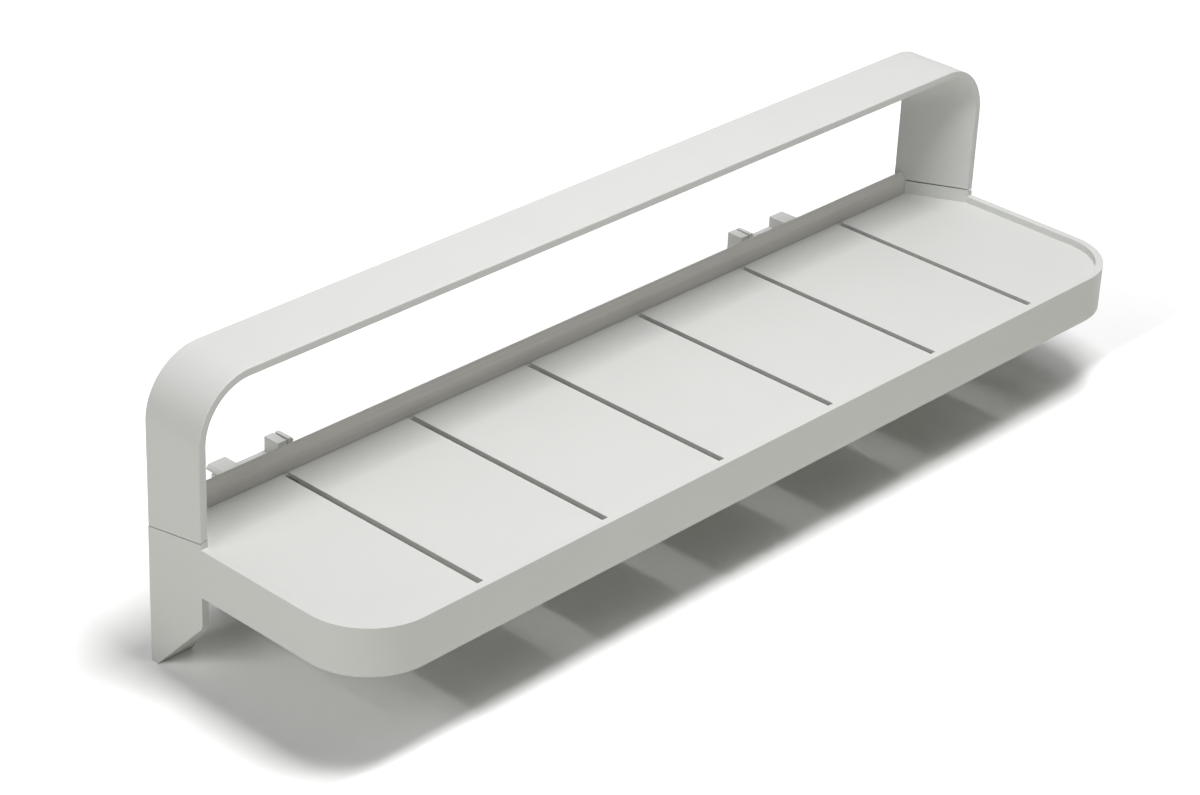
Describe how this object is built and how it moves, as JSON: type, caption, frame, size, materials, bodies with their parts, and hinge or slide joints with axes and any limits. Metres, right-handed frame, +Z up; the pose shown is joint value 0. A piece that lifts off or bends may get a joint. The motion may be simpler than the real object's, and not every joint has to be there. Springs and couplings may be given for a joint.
{
  "type": "side table",
  "caption": "Clip-on side table: a long shallow tray with drain slots and rounded front corners, a wide wedge-section hoop over its back, slanted toes, and brackets with snap jaws behind.",
  "frame": {"origin": "on the back face of the rear rail, at mid length, level with the tops of the bracket plates", "axes": "+X along the table's length, to the right for someone in front of the tray; +Y backwards, out of the back face and towards what the table hangs on; +Z up"},
  "size_m": [0.9, 0.298, 0.255],
  "materials": {
    "shell": "fine matte moulding, off-white",
    "rail": "satin paint on extruded metal, off-white",
    "steel": "plain zinc-plated steel",
    "brass": "turned brass"
  },
  "bodies": {
    "shelf": {"tray": "shell", "tray_floor": "shell", "rear_rail": "rail", "hoop": "shell", "hoop_back_cover": "shell", "leg_cover_left": "shell", "leg_cover_right": "shell", "tie_tube_left": "steel", "tie_tube_right": "steel", "cross_screws": "steel", "rail_screws": "steel", "rail_inserts": "brass", "bracket_left": "shell", "bracket_right": "shell", "bracket_screws": "steel", "bracket_inserts": "brass"},
    "latch_left": {"latch_left": "shell"},
    "latch_right": {"latch_right": "shell"}
  },
  "joints": [
    {"name": "latch_left_flex", "type": "hinge", "parent": "shelf", "child": "latch_left", "pos_m": [-0.2665, 0.0575, -0.00275], "axis": [0, -1, 0], "range_deg": [0, 5.5], "stiffness_Nm_per_rad": 0.05, "springref_deg": -5.73},
    {"name": "latch_right_flex", "type": "hinge", "parent": "shelf", "child": "latch_right", "pos_m": [0.2775, 0.0575, -0.00275], "axis": [0, -1, 0], "range_deg": [0, 5.5], "stiffness_Nm_per_rad": 0.05, "springref_deg": -5.73}
  ]
}
